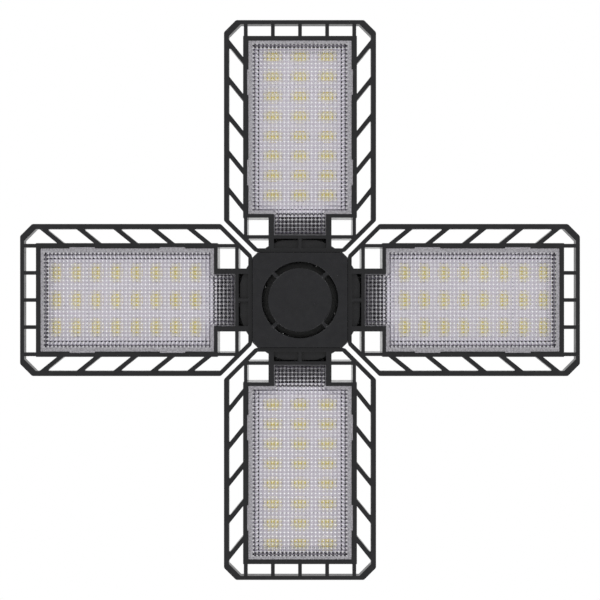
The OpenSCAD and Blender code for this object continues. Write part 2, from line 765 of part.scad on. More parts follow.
module base_neck() {
    z1 = seat_z;
    color("#2b2b2d") difference() {
        union() {
            rotate_extrude($fn = 96) polygon(concat([[0, housing_top_z - roof_t - 1.5],
                [neck_spigot_r, housing_top_z - roof_t - 1.5], [neck_spigot_r, housing_top_z],
                [neck_foot_r, housing_top_z], [neck_foot_r, housing_top_z + 2]],
                [for (i = [1:8]) let (t = i / 8)
                    [neck_top_r + (neck_foot_r - neck_top_r) * pow(1 - t, 2),
                        housing_top_z + 2 + (neck_h - 2) * t]],
                [[0, z1]]));
            translate([0, 0, z1 - 1]) cylinder(r = collar_r, h = collar_h + 1);
        }
        translate([0, 0, housing_top_z - roof_t - 3])
            cylinder(r = neck_bore_r, h = neck_h + collar_h + 10);
        // notch for the neutral wire
        slab(neck_bore_r - 1, collar_r + 1, -1.3, 1.3, z1 + collar_h - 2.4, z1 + collar_h + 1);
    }
}

module screw_shell() {
    crest_r = thread_r - thread_depth / 2;
    z0 = seat_z + 2.2;
    turns = floor((shell_h - 4.6) / thread_pitch * 8);
    wave = [for (i = [0:turns]) let (z = i * thread_pitch / 8)
        [crest_r - thread_depth / 2 * cos(45 * i), z0 + z]];
    outer = concat([[thread_r - 0.05, seat_z], [thread_r - 0.05, z0 - 0.6]], wave,
        [[crest_r - 2, seat_z + shell_h - 0.9], [insulator_r + shell_t + fit_gap, seat_z + shell_h]]);
    inner = [for (i = [len(outer) - 1:-1:0]) [outer[i].x - shell_t, outer[i].y]];
    color("#c9c9c6") rotate_extrude($fn = 96) polygon(concat(outer, inner));
}

module shell_insulator() {
    z0 = seat_z + collar_h + 0.1;
    z1 = seat_z + shell_h;
    color("#141416") rotate_extrude($fn = 96) polygon([[contact_stem_r + fit_gap, z0],
        [insulator_r - fit_gap, z0], [insulator_r - fit_gap, z1], [insulator_r - 0.8, z1 + 0.4],
        [contact_r + 0.8, z1 + insulator_h], [contact_stem_r + fit_gap, z1 + insulator_h]]);
}

module centre_contact() {
    z1 = seat_z + shell_h + insulator_h;
    color("#c2bda9") rotate_extrude() polygon([[0, z1 - 4.4], [contact_stem_r, z1 - 4.4],
        [contact_stem_r, z1], [contact_r, z1], [contact_r, z1 + contact_h * 0.4],
        [contact_r * 0.7, z1 + contact_h], [0, z1 + contact_h]]);
}

module driver_board() {
    color("#2f7a4a") difference() {
        translate([0, 0, pcb_z]) cylinder(r = pcb_r, h = pcb_t);
        four_times(45) translate([pcb_screw_x, 0, pcb_z - 1])
            cylinder(r = screw_r + hole_gap, h = pcb_t + 2);
        // room for the posts of the housing screws
        four_times(22.5) translate([housing_screw_x, 0, pcb_z - 1])
            cylinder(r = post_r + 0.3, h = pcb_t + 2);
    }
}

module board_screws() {
    color("#8c8f93") four_times(45) translate([pcb_screw_x, 0, parts_z])
        screw(screw_r, pcb_t + 5, head_r, head_h);
}

module driver_transformer() {
    leg_x = core_l / 2 - core_t;
    color("#c9a227") {
        slab(-core_l / 2, core_l / 2, -winding_d / 2 - 1, winding_d / 2 + 1, parts_z, parts_z + foot_h);
        slab(-leg_x - 0.5, leg_x + 0.5, -winding_d / 2, winding_d / 2,
            parts_z + foot_h - 1, parts_z + core_h - 1);
    }
    color("#3b3b3b") {
        for (x = [-core_l / 2, leg_x])
            slab(x, x + core_t, -core_d / 2, core_d / 2, parts_z + foot_h - 1, parts_z + core_h);
        slab(-core_l / 2, core_l / 2, -core_d / 2, core_d / 2,
            parts_z + core_h - core_t, parts_z + core_h);
    }
}

module driver_capacitors() {
    color("#26262b") {
        translate([0, driver_caps_y, parts_z]) cylinder(r = smooth_cap_r, h = smooth_cap_h);
        translate([0, -driver_caps_y, parts_z]) cylinder(r = input_cap_r, h = input_cap_h);
    }
}

module driver_small_parts() {
    color("#4a4a46") {
        translate([pcb_r - 9, -resistor_l / 2, parts_z + resistor_r]) rotate([-90, 0, 0])
            cylinder(r = resistor_r, h = resistor_l);
        slab(-pcb_r + 6, -pcb_r + 6 + film_w, -film_l / 2, film_l / 2, parts_z, parts_z + film_h);
        for (side = [1, -1]) translate([side * pcb_r / 2, -side * (pcb_r - 9), parts_z])
            cylinder(r = coil_r, h = coil_h);
        translate([TERMINAL.x, TERMINAL.y, parts_z + terminal_w / 2])
            cube(terminal_w, center = true);
    }
}

module supply_wires() {
    color("#d8d4cc") {
        tube(SUPPLY_LIVE, supply_r);
        tube(SUPPLY_NEUTRAL, supply_r);
    }
}

module hub_leads() {
    color("#e8e6e2") four_times() {
        tube(HUB_LEAD, lead_r);
        mirror([0, 1, 0]) tube(HUB_LEAD, lead_r);
    }
}

lowered() screw_shell();
lowered() shell_insulator();
lowered() centre_contact();
lowered() base_neck();
lowered() driver_housing();
lowered() hinge_ring();
lowered() front_cap();
lowered() cap_screws();
lowered() housing_screws();
lowered() driver_board();
lowered() board_screws();
lowered() driver_transformer();
lowered() driver_capacitors();
lowered() driver_small_parts();
lowered() supply_wires();
lowered() hub_leads();

for (i = SIDES) {
    n = str("panel_", i, "_");
    lowered() on_side(i) panel_frame();
    lowered() on_side(i) panel_heat_sink();
    lowered() on_side(i) panel_led_board();
    lowered() on_side(i) panel_led_chips();
    lowered() on_side(i) panel_lens();
    lowered() on_side(i) panel_hinge_pin();
    lowered() on_side(i) panel_friction_washers();
    lowered() on_side(i) panel_back_screws();
    lowered() on_side(i) panel_leads();
}
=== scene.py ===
"""Looks of the folding garage light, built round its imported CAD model.

The light hangs with its panels' fronts facing down, and the camera looks up at them. A panel
piece is made once, for panel_1, and turned onto the other three panels.
"""
import math

import bmesh
import bpy
from mathutils import Matrix, Vector


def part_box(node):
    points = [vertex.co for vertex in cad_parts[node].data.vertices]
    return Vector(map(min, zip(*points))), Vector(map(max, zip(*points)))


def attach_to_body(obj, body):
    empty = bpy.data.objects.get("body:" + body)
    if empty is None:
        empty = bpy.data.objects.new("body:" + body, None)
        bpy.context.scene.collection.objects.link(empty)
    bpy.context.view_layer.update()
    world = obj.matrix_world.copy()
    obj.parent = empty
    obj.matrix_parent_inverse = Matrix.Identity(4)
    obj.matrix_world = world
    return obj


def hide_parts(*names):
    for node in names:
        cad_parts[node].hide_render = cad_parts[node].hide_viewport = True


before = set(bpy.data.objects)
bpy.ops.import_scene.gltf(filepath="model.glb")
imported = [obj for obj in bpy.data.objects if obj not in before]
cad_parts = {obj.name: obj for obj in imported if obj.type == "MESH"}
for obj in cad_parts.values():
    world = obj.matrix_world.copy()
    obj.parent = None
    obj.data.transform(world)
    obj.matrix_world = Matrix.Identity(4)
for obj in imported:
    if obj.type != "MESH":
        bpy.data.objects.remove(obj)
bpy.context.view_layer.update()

MM = 0.001
SIDES = (1, 2, 3, 4)
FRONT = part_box("panel_1_frame")[0].z    # front plane of the open panels


# ---------------------------------------------------------------- places on a panel
# A panel piece is drawn for panel_1, which lies along +X: r is the distance from the hub's
# axis, w the place across the panel and z the height behind the panels' front plane, in mm.

ALONG, ACROSS, HEIGHT = 0, 1, 2


def span(node, axis):
    """The node's lowest and highest place along an axis, in mm; heights start at FRONT."""
    low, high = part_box(node)
    shift = FRONT if axis == HEIGHT else 0.0
    return (low[axis] - shift) / MM, (high[axis] - shift) / MM


def point(r, w, z):
    """A point in metres from places in mm on panel_1."""
    return Vector((r * MM, w * MM, FRONT + z * MM))


def around(middle, half):
    """The stretch that reaches half to both sides of its middle."""
    return middle - half, middle + half


LENS_R, LENS_Z = span("panel_1_lens", ALONG), span("panel_1_lens", HEIGHT)
BOARD_W, BOARD_Z = span("panel_1_led_board", ACROSS), span("panel_1_led_board", HEIGHT)
CHIPS_R, CHIPS_W = span("panel_1_led_chips", ALONG), span("panel_1_led_chips", ACROSS)
CHIPS_Z = span("panel_1_led_chips", HEIGHT)

PRISM_PITCH = 2.49                      # distance between the lens's prisms, both ways
LAST_ROW_R = 161.5                      # tips of the last full row of prisms
LED_ROWS, LED_COLS = 8, 3
LED_L, LED_W = 3.0, 5.7                 # an LED, along and across the panel
FIRST_LED_R = CHIPS_R[0] + LED_L / 2
LED_ROW_PITCH = (CHIPS_R[1] - CHIPS_R[0] - LED_L) / (LED_ROWS - 1)
LED_COL_PITCH = (CHIPS_W[1] - CHIPS_W[0] - LED_W) / (LED_COLS - 1)


# ---------------------------------------------------------------- material kit

def add_node(tree, kind, inputs, **settings):
    """A new shader node with its settings; an input is a value or another node's output."""
    node = tree.nodes.new("ShaderNode" + kind)
    for name, value in settings.items():
        setattr(node, name, value)
    for socket, value in inputs.items():
        if isinstance(value, bpy.types.NodeSocket):
            tree.links.new(value, node.inputs[socket])
        else:
            node.inputs[socket].default_value = value
    return node


class Finish:
    """A node material: one Principled shader, with helpers for patterns that feed it."""

    def __init__(self, name, color, roughness, **sockets):
        self.mat = bpy.data.materials.new(name)
        self.mat.use_nodes = True
        self.tree = self.mat.node_tree
        self.shader = self.tree.nodes["Principled BSDF"]
        self.color = (*color, 1.0)
        self.normal = None
        self.coords = self.add("TexCoord", {}).outputs["Object"]
        self.shader.inputs["Base Color"].default_value = self.color
        self.shader.inputs["Roughness"].default_value = roughness
        for socket, value in sockets.items():
            self.shader.inputs[socket.replace("_", " ")].default_value = value

    def add(self, kind, inputs, **settings):
        return add_node(self.tree, kind, inputs, **settings)

    def feed(self, socket, source):
        """Let a pattern set one of the shader's sockets."""
        self.tree.links.new(source, self.shader.inputs[socket])

    def noise(self, size, detail=3.0):
        """Noise whose grains are about size millimetres."""
        return self.add("TexNoise", {"Vector": self.coords, "Scale": 1.0 / (size * MM),
                                     "Detail": detail, "Roughness": 0.55}).outputs["Fac"]

    def cells(self, size):
        """Distance to the nearest of scattered points about size millimetres apart."""
        return self.add("TexVoronoi", {"Vector": self.coords,
                                       "Scale": 1.0 / (size * MM)}).outputs["Distance"]

    def ramp(self, source, low, high, start=0.35, end=0.65):
        """Source from start to end turned into values from low to high."""
        return self.add("MapRange", {"Value": source, "From Min": start, "From Max": end,
                                     "To Min": low, "To Max": high}).outputs["Result"]

    def mixed(self, share, a, b):
        """Colour a turned into colour b as share goes from 0 to 1."""
        return self.add("Mix", {"Factor": share, "A": a, "B": b},
                        data_type="RGBA").outputs["Result"]

    def tint(self, source, other, start=0.35, end=0.65):
        """Base colour that goes from the finish's own colour to the other one."""
        share = self.ramp(source, 0.0, 1.0, start, end)
        self.feed("Base Color", self.mixed(share, self.color, (*other, 1.0)))

    def gloss(self, source, low, high):
        """Roughness that goes from low to high."""
        self.feed("Roughness", self.ramp(source, low, high))

    def bump(self, source, height, strength=1.0):
        """Relief of height millimetres, on top of the relief that is there."""
        inputs = {"Height": source, "Distance": height * MM, "Strength": strength}
        if self.normal:
            inputs["Normal"] = self.normal
        self.normal = self.add("Bump", inputs).outputs["Normal"]
        self.feed("Normal", self.normal)

    def calc(self, operation, a, b=0.0):
        return self.add("Math", {0: a, 1: b}, operation=operation).outputs["Value"]

    def minus(self, a, b):
        return self.calc("SUBTRACT", a, b)

    def off_nearest(self, value, pitch):
        """Distance from value to the nearest multiple of pitch."""
        return self.calc("PINGPONG", value, pitch / 2)

    def places(self):
        """Places along and across the panel, in metres."""
        split = self.add("SeparateXYZ", {"Vector": self.coords})
        return split.outputs["X"], split.outputs["Y"]

    def off_leds(self, wider=0.0):
        """Distance outside the nearest LED's outline, in metres.

        The outline is taken wider across the panel by wider mm on each side.
        """
        x, y = self.places()
        row = self.off_nearest(self.minus(x, FIRST_LED_R * MM), LED_ROW_PITCH * MM)
        col = self.off_nearest(y, LED_COL_PITCH * MM)
        off = self.calc("MAXIMUM", self.minus(row, LED_L / 2 * MM),
                        self.minus(col, (LED_W / 2 + wider) * MM))
        beside_all = self.minus(self.calc("ABSOLUTE", y), (CHIPS_W[1] + wider) * MM)
        before_all = self.minus(CHIPS_R[0] * MM, x)
        return self.calc("MAXIMUM", self.calc("MAXIMUM", off, beside_all), before_all)

    def lets_lamps_through(self, color):
        """Shadow rays pass, so that what lies behind the plastic is lit."""
        ray = self.add("LightPath", {}).outputs["Is Shadow Ray"]
        clear = self.add("BsdfTransparent", {"Color": (*color, 1.0)}).outputs["BSDF"]
        mix = self.add("MixShader", {"Fac": ray, 1: self.shader.outputs["BSDF"], 2: clear})
        surface = self.tree.nodes["Material Output"].inputs["Surface"]
        self.tree.links.new(mix.outputs["Shader"], surface)


# ---------------------------------------------------------------- materials

LENS_IOR = 1.58
HAZE_ELSEWHERE = 0.014                  # on the facets that do not face the hub
HIGHLIGHT_END = 0.39                         # painted highlight ends so far before a prism's tip, in pitches
HIGHLIGHT_EDGE = (0.02, 0.08)                # its soft edge, in pitches
TONGUE_SHADED_R, TONGUE_LIT_R = 41.0, 56.5      # painted shadow of the hub cap on the tongue's painted highlight: darkest and fully lit places
# levels of the tongue's painted highlight under the painted shadow of the hub cap
TONGUE_SHADED, TONGUE_LIT = 0.09, 0.90
GLOW_WIDER = 0.8                        # the painted yellow glow of an LED in the lens is wider on each side
GLOW_REACH = (0.4, 2.2)                 # full up to the first distance, gone at the second
GLOW_LOSS = {"Red": 0.0, "Green": 0.02, "Blue": 0.30}   # what the painted glow takes from the painted highlight's colour
HALO_REACH = (0.3, 1.5)                 # painted warm halo of an LED on the board, as GLOW_REACH


def moulded_black(name, color, roughness, grain=0.35):
    """Black moulding with a fine spark-eroded grain and faint flow marks."""
    f = Finish(name, color, roughness, Specular_IOR_Level=0.36)
    lighter = tuple(c * 1.35 for c in color)
    f.tint(f.noise(9.0, 4.0), lighter, 0.3, 0.7)
    f.gloss(f.noise(4.0, 3.0), roughness - 0.05, roughness + 0.05)
    f.bump(f.noise(grain, 2.0), 0.006, 0.5)
    f.bump(f.noise(14.0, 1.0), 0.03, 0.2)
    return f.mat


def facet_haze_and_highlight(f, x, y):
    """Painted highlight drawn as white frosting: full on each prism's facet towards the hub;
    elsewhere only a faint even frosting.
    """
    row = f.calc("DIVIDE", f.minus(x, LAST_ROW_R * MM), PRISM_PITCH * MM)
    before_tip = f.minus(0.5, f.calc("FRACT", f.calc("ADD", row, 0.5)))
    beside_tip = f.off_nearest(f.calc("DIVIDE", y, PRISM_PITCH * MM), 1.0)
    inside = f.calc("MINIMUM", f.minus(before_tip, beside_tip), f.minus(HIGHLIGHT_END, before_tip))
    return f.ramp(inside, HAZE_ELSEWHERE, 1.0, *HIGHLIGHT_EDGE)


def lens_plastic():
    """Clear plastic with a painted highlight on each prism's facet towards the hub.

    Over the LED board the painted highlight is white, with a painted warm glow round the LEDs;
    along the tongue a painted shadow of the hub cap darkens it towards the hub.
    """
    f = Finish("lens_prism_plastic", (0.635, 0.62, 0.665), 0.08, IOR=LENS_IOR)
    x, y = f.places()
    # painted highlight, drawn as white frosting on the facets towards the hub
    haze_and_highlight = facet_haze_and_highlight(f, x, y)
    # painted shadow of the hub cap: the painted highlight darkens towards the hub
    white = f.ramp(x, TONGUE_SHADED, TONGUE_LIT, TONGUE_SHADED_R * MM, TONGUE_LIT_R * MM)
    full, gone = GLOW_REACH
    # painted warm glow of each LED in the lens, reaching past its outline
    glow = f.ramp(f.off_leds(GLOW_WIDER), 1.0, 0.0, full * MM, gone * MM)
    channels = {}
    for channel, loss in GLOW_LOSS.items():
        kept = f.minus(1.0, f.calc("MULTIPLY", glow, loss))
        channels[channel] = f.calc("MULTIPLY", white, kept)
    highlight_color = f.add("CombineColor", channels).outputs["Color"]
    # the clear plastic is painted yellow round each LED
    clear = f.mixed(glow, f.color, (0.65, 0.63, 0.56, 1.0))
    # where the painted highlight lies, white frosting takes the place of the clear plastic
    f.feed("Base Color", f.mixed(haze_and_highlight, clear, highlight_color))
    f.feed("Transmission Weight", f.minus(1.0, haze_and_highlight))
    f.lets_lamps_through((0.74, 0.73, 0.77))
    return f.mat


def flange_plastic():
    """The lens's flat edge, finely frosted."""
    f = Finish("lens_flange_plastic", (0.41, 0.40, 0.43), 0.42, IOR=LENS_IOR,
               Transmission_Weight=0.3)
    f.tint(f.noise(0.9, 3.0), (0.20, 0.19, 0.21), 0.42, 0.62)
    f.bump(f.cells(0.6), 0.06, 0.7)
    f.lets_lamps_through((0.6, 0.58, 0.63))
    return f.mat


def solder_mask(name, color):
    """The slightly rippled mask of a circuit board, before its second tone."""
    f = Finish(name, color, 0.34, Coat_Weight=0.25, Coat_Roughness=0.15)
    f.bump(f.noise(0.8, 2.0), 0.01, 0.3)
    return f


def board_white():
    """White solder mask, with a painted warm glow right round each LED."""
    f = solder_mask("board_solder_mask", (0.86, 0.86, 0.85))
    full, gone = HALO_REACH
    # painted warm glow of each LED on the board
    f.tint(f.off_leds(), (0.85, 0.80, 0.46), gone * MM, full * MM)
    return f.mat


def board_black():
    """Black solder mask of the driver board."""
    f = solder_mask("driver_solder_mask", (0.006, 0.008, 0.007))
    f.tint(f.noise(6.0, 3.0), (0.004, 0.006, 0.005), 0.35, 0.7)
    return f.mat


def phosphor():
    """The yellow gel over an LED's dies."""
    f = Finish("led_phosphor_gel", (0.86, 0.70, 0.07), 0.28, Coat_Weight=0.6,
               Coat_Roughness=0.08)
    f.tint(f.noise(0.35, 4.0), (0.93, 0.80, 0.14))
    f.bump(f.noise(0.5, 1.0), 0.02, 0.4)
    return f.mat


def led_white():
    """The white body of an LED."""
    f = Finish("led_body_white", (0.86, 0.85, 0.80), 0.4)
    f.tint(f.noise(0.6, 2.0), (0.78, 0.77, 0.72))
    f.bump(f.noise(0.3, 2.0), 0.01, 0.3)
    return f.mat


def solder():
    """Solder, lumpy and of uneven gloss."""
    f = Finish("solder_tin", (0.62, 0.62, 0.63), 0.3, Metallic=1.0)
    f.gloss(f.noise(0.4, 3.0), 0.2, 0.5)
    f.bump(f.noise(0.4, 2.0), 0.05, 0.5)
    return f.mat


def trace_dark():
    """The dark lines printed on the LED board."""
    f = Finish("board_trace", (0.16, 0.15, 0.16), 0.5)
    f.tint(f.noise(0.8, 2.0), (0.24, 0.22, 0.22))
    return f.mat


def extruded_aluminium():
    """Bare aluminium with a slight mottle and a fine grain."""
    f = Finish("sink_extruded", (0.62, 0.63, 0.64), 0.36, Metallic=1.0)
    f.tint(f.noise(7.0, 4.0), (0.54, 0.55, 0.57), 0.3, 0.7)
    f.gloss(f.noise(1.2, 3.0), 0.28, 0.48)
    f.bump(f.noise(0.35, 2.0), 0.012, 0.5)
    return f.mat


def metal(name, color, roughness):
    """Plated or oxidised metal with darker patches."""
    f = Finish(name, color, roughness, Metallic=1.0)
    darker = tuple(c * 0.86 for c in color)
    f.tint(f.noise(3.0, 4.0), darker, 0.35, 0.7)
    f.gloss(f.noise(1.0, 3.0), roughness - 0.08, roughness + 0.12)
    f.bump(f.noise(0.5, 2.0), 0.01, 0.4)
    return f.mat


def gloss_black():
    """The glassy black insulator of the screw base."""
    f = Finish("insulator_glass_black", (0.014, 0.014, 0.016), 0.14, Coat_Weight=0.3)
    f.tint(f.noise(2.5, 3.0), (0.022, 0.022, 0.026))
    f.bump(f.noise(3.0, 2.0), 0.03, 0.25)
    return f.mat


def soft_plastic(name, color, roughness=0.45):
    """Tape, sleeves, coatings and wire insulation."""
    f = Finish(name, color, roughness)
    darker = tuple(c * 0.82 for c in color)
    f.tint(f.noise(1.5, 3.0), darker)
    f.gloss(f.noise(1.0, 2.0), roughness - 0.08, roughness + 0.1)
    f.bump(f.noise(0.5, 2.0), 0.015, 0.4)
    return f.mat


FRAME_BLACK = moulded_black("frame_moulding", (0.0062, 0.0062, 0.0072), 0.22)
HUB_BLACK = moulded_black("hub_moulding", (0.0058, 0.0058, 0.0067), 0.26)
CAP_BLACK = moulded_black("cap_moulding", (0.0055, 0.0055, 0.0068), 0.26, grain=0.25)
LENS = lens_plastic()
FLANGE = flange_plastic()
BOARD_WHITE = board_white()
BOARD_BLACK = board_black()
PHOSPHOR = phosphor()
LED_WHITE = led_white()
SOLDER = solder()
TRACE = trace_dark()
ALUMINIUM = extruded_aluminium()
STEEL = metal("zinc_steel", (0.60, 0.61, 0.62), 0.3)
BLACK_OXIDE = metal("screw_oxide", (0.035, 0.035, 0.037), 0.38)
NICKEL = metal("shell_plating", (0.72, 0.70, 0.65), 0.24)
TIN = metal("contact_tin", (0.68, 0.65, 0.56), 0.3)
GLOSS_BLACK = gloss_black()
TAPE = soft_plastic("transformer_tape_yellow", (0.72, 0.50, 0.06), 0.4)
SLEEVE = soft_plastic("capacitor_sleeve_black", (0.02, 0.02, 0.026), 0.35)
COMPONENT = soft_plastic("component_coat", (0.055, 0.055, 0.05))
INSULATION = soft_plastic("wire_white", (0.80, 0.79, 0.75), 0.5)


# ---------------------------------------------------------------- mesh kit

WELD = 1e-7                             # corners of a new mesh closer than this are one
DECIMALS = 8                            # to which corners are compared, in metres


def finished(bm, name):
    """Mesh data from bm, with closed seams and outward faces."""
    bmesh.ops.remove_doubles(bm, verts=bm.verts, dist=WELD)
    bmesh.ops.recalc_face_normals(bm, faces=bm.faces)
    return mesh_from(bm, name)


def mesh_from(bm, name):
    mesh = bpy.data.meshes.new(name)
    bm.to_mesh(mesh)
    bm.free()
    return mesh


def new_object(name, mesh):
    obj = bpy.data.objects.new(name, mesh)
    bpy.context.scene.collection.objects.link(obj)
    return obj


def add_band(bm, low, high, material=0, smooth=False):
    """Faces between two closed loops of corners; a face with no area is left out."""
    for k in range(len(low)):
        n = (k + 1) % len(low)
        ring = (low[k], low[n], high[n], high[k])
        if len({v.co.to_tuple(DECIMALS) for v in ring}) > 2:
            face = bm.faces.new(ring)
            face.material_index = material
            face.smooth = smooth


def add_block(bm, r, w, z, material=0, edge=0.0):
    """Block from (low, high) pairs in mm, with its front edges cut by edge mm."""
    low, high = point(r[0], w[0], z[0]), point(r[1], w[1], z[1])
    cut = edge * MM
    rings = [(low.z, cut), (low.z + cut, 0.0), (high.z, 0.0)]
    if not edge:
        del rings[0]
    loops = []
    for height, inset in rings:
        loops.append([bm.verts.new((x, y, height)) for x, y in (
            (low.x + inset, low.y + inset), (high.x - inset, low.y + inset),
            (high.x - inset, high.y - inset), (low.x + inset, high.y - inset))])
    for a, b in zip(loops, loops[1:]):
        add_band(bm, a, b, material)
    for loop in (loops[0], loops[-1]):
        bm.faces.new(loop).material_index = material


# ---------------------------------------------------------------- prism lens

PRISM_H = 1.40                          # height of a prism
TIP_HALF = 0.17                         # half width of its blunt tip
TIP_DROP = 0.07                         # how far the tip's rim lies below the point
FIELD_W = 30.35                         # half width of the prism field
FIELD_FAR = 163.4                       # its far end
FIELD_NEAR = LAST_ROW_R - 41.85 * PRISM_PITCH   # its near end, 0.35 pitch past a valley
NOTCH_W = 17.4                          # half width of its opening to the tongue
NOTCH_R = 54.6                          # near end of the slanted edges of that opening
NOTCH_IN_W = 14.6                       # half width of the opening at that end
TONGUE_W = 16.5                         # half width of the tongue
TONGUE_EDGE = 0.2                       # flat edge round the tongue's prisms
BODY_R = 54.9                           # near edge of the lens body
BODY_W = 32.9                           # half width of the lens body
PLATE_T = 2.5                           # thickness of the plate
TAB_OUT = 0.8                           # how far a snap tab stands out
TAB_HALF = 8.1                          # half length of a snap tab
TAB_INSET = 26.5                        # distance of the tabs' middles from the body's ends
RIM_T = 2.4                             # wall of the rim round the body
TONGUE_RIM_T = 1.0                      # wall of the rim round the tongue
LINE_GAP = 0.02                         # least distance of a grid line from the field's ends
LINE_DECIMALS = 6                       # to which a grid line's place is rounded
CORNER_INSET = 0.01                     # a patch's corners are tested this far inside it
CUT_WELD = 1e-8                         # the cut takes corners closer than this as they are
CLEAR, FROSTED = 0, 1                   # numbers of the faces' materials


def prism_lines(low, high, tip):
    """Grid lines across the prisms from low to high: valleys, tip rims and tips."""
    lines = {low, high}
    first = math.floor((low - tip) / PRISM_PITCH)
    last = math.ceil((high - tip) / PRISM_PITCH)
    for i in range(first, last + 1):
        middle = tip + i * PRISM_PITCH
        for x in (middle - PRISM_PITCH / 2, middle - TIP_HALF, middle, middle + TIP_HALF):
            if low + LINE_GAP < x < high - LINE_GAP:
                lines.add(round(x, LINE_DECIMALS))
    return sorted(lines)


def off_tip(x, tip):
    """Distance from x to the nearest prism's middle line."""
    d = (x - tip) % PRISM_PITCH
    return min(d, PRISM_PITCH - d)


def tip_distance(r, w):
    """Distance from the nearest prism's middle: the larger of those along and across."""
    return max(off_tip(r, LAST_ROW_R), off_tip(w, 0.0))


def prism_z(r, w):
    """Height of the prisms' surface: lowest at the tips, which point forward."""
    d = tip_distance(r, w)
    if d <= TIP_HALF:
        return LENS_Z[0] + d * TIP_DROP / TIP_HALF
    share = (d - TIP_HALF) / (PRISM_PITCH / 2 - TIP_HALF)
    return LENS_Z[0] + TIP_DROP + share * (PRISM_H - TIP_DROP)


def in_field(r, w):
    """Whether a place lies in the prism field, its opening or the tongue."""
    if r > FIELD_NEAR:
        return abs(w) < FIELD_W
    if r > NOTCH_R:
        share = (r - NOTCH_R) / (FIELD_NEAR - NOTCH_R)
        return abs(w) < NOTCH_IN_W + share * (NOTCH_W - NOTCH_IN_W)
    return abs(w) < TONGUE_W - TONGUE_EDGE


def touches_field(r, w):
    """Whether a corner of the patch from r[0] to r[1] and w[0] to w[1] lies in the field."""
    return any(in_field(a, b) for a in (r[0] + CORNER_INSET, r[1] - CORNER_INSET)
               for b in (w[0] + CORNER_INSET, w[1] - CORNER_INSET))


def add_prism_patch(bm, verts, r, w):
    """One grid patch, split so that a prism's ridges run along its diagonals."""
    ring = []
    for place in ((r[0], w[0]), (r[1], w[0]), (r[1], w[1]), (r[0], w[1])):
        if place not in verts:
            verts[place] = bm.verts.new(point(*place, prism_z(*place)))
        ring.append((tip_distance(*place), verts[place]))
    if abs(ring[0][0] - ring[2][0]) < abs(ring[1][0] - ring[3][0]):
        ring = ring[1:] + ring[:1]
    a, b, c, d = (vert for _, vert in ring)
    bm.faces.new((a, b, c))
    bm.faces.new((a, c, d))


def middle_of(face):
    """The place of a face's middle along and across the panel, in mm."""
    middle = face.calc_center_median() / MM
    return middle.x, middle.y


def cut_notch(bm):
    """Cut the patches along the slanted edges of the field's opening to the tongue."""
    for side in (1, -1):
        start, end = point(FIELD_NEAR, side * NOTCH_W, 0), point(NOTCH_R, side * NOTCH_IN_W, 0)
        geom = set()
        for face in bm.faces:
            r, w = middle_of(face)
            if NOTCH_R < r < FIELD_NEAR and w * side > 0:
                geom.update((face, *face.edges, *face.verts))
        bmesh.ops.bisect_plane(bm, geom=list(geom), dist=CUT_WELD, plane_co=start,
                               plane_no=(end - start).cross(Vector((0, 0, 1))).normalized())


def add_field_wall(bm):
    """Wall up the field's edge to the flange's level and return the edges of its top."""
    level = point(0, 0, LENS_Z[0]).z
    edge = [e for e in bm.edges if len(e.link_faces) == 1]
    top = {v: bm.verts.new((v.co.x, v.co.y, level)) for v in {v for e in edge for v in e.verts}}
    for e in edge:
        a, b = e.verts
        bm.faces.new((a, b, top[b], top[a]))
    return [bm.edges.get([top[v] for v in e.verts]) for e in edge]


def add_prisms(bm):
    """The prism field with its wall; returns the edges of the wall's top."""
    rs = sorted({*prism_lines(LENS_R[0] + TONGUE_EDGE, FIELD_FAR, LAST_ROW_R), NOTCH_R})
    half = sorted({*prism_lines(0.0, FIELD_W, 0.0), TONGUE_W - TONGUE_EDGE})
    ws = [-w for w in reversed(half[1:])] + half
    verts = {}
    for r in zip(rs, rs[1:]):
        for w in zip(ws, ws[1:]):
            if touches_field(r, w):
                add_prism_patch(bm, verts, r, w)
    cut_notch(bm)
    outside = [face for face in bm.faces if not in_field(*middle_of(face))]
    bmesh.ops.delete(bm, geom=outside, context="FACES")
    return add_field_wall(bm)


def mirrored(side):
    """An outline from its half on the side where w is positive."""
    return side + [(r, -w) for r, w in reversed(side)]


def lens_outline(tab_out):
    """Corners of the lens in plan, with snap tabs that stand out by tab_out."""
    tongue_in, far = LENS_R
    side = [(tongue_in, TONGUE_W), (BODY_R, TONGUE_W), (BODY_R, BODY_W)]
    for middle in (BODY_R + TAB_INSET, far - TAB_INSET):
        start, end = around(middle, TAB_HALF)
        out_w = BODY_W + tab_out
        side += [(start, BODY_W), (start, out_w), (end, out_w), (end, BODY_W)]
    return mirrored(side + [(far, BODY_W)])


def hollow_outline():
    """Corners of the space inside the rim."""
    near, far = LENS_R[0] + TONGUE_RIM_T, LENS_R[1] - RIM_T
    tongue_w, body_w = TONGUE_W - TONGUE_RIM_T, BODY_W - RIM_T
    return mirrored([(near, tongue_w), (BODY_R + RIM_T, tongue_w), (BODY_R + RIM_T, body_w),
                     (far, body_w)])


def loop_at(bm, outline, z):
    return [bm.verts.new(point(r, w, z)) for r, w in outline]


def loop_edges(bm, loop):
    """The edges round a loop of corners; those that no face has yet are made."""
    pairs = list(zip(loop, loop[1:] + loop[:1]))
    return [bm.edges.get(pair) or bm.edges.new(pair) for pair in pairs]


def fill(bm, edges):
    """Frosted faces between an outer loop of edges and the loops inside it."""
    made = bmesh.ops.triangle_fill(bm, use_beauty=True, edges=edges)
    for item in made["geom"]:
        if isinstance(item, bmesh.types.BMFace):
            item.material_index = FROSTED


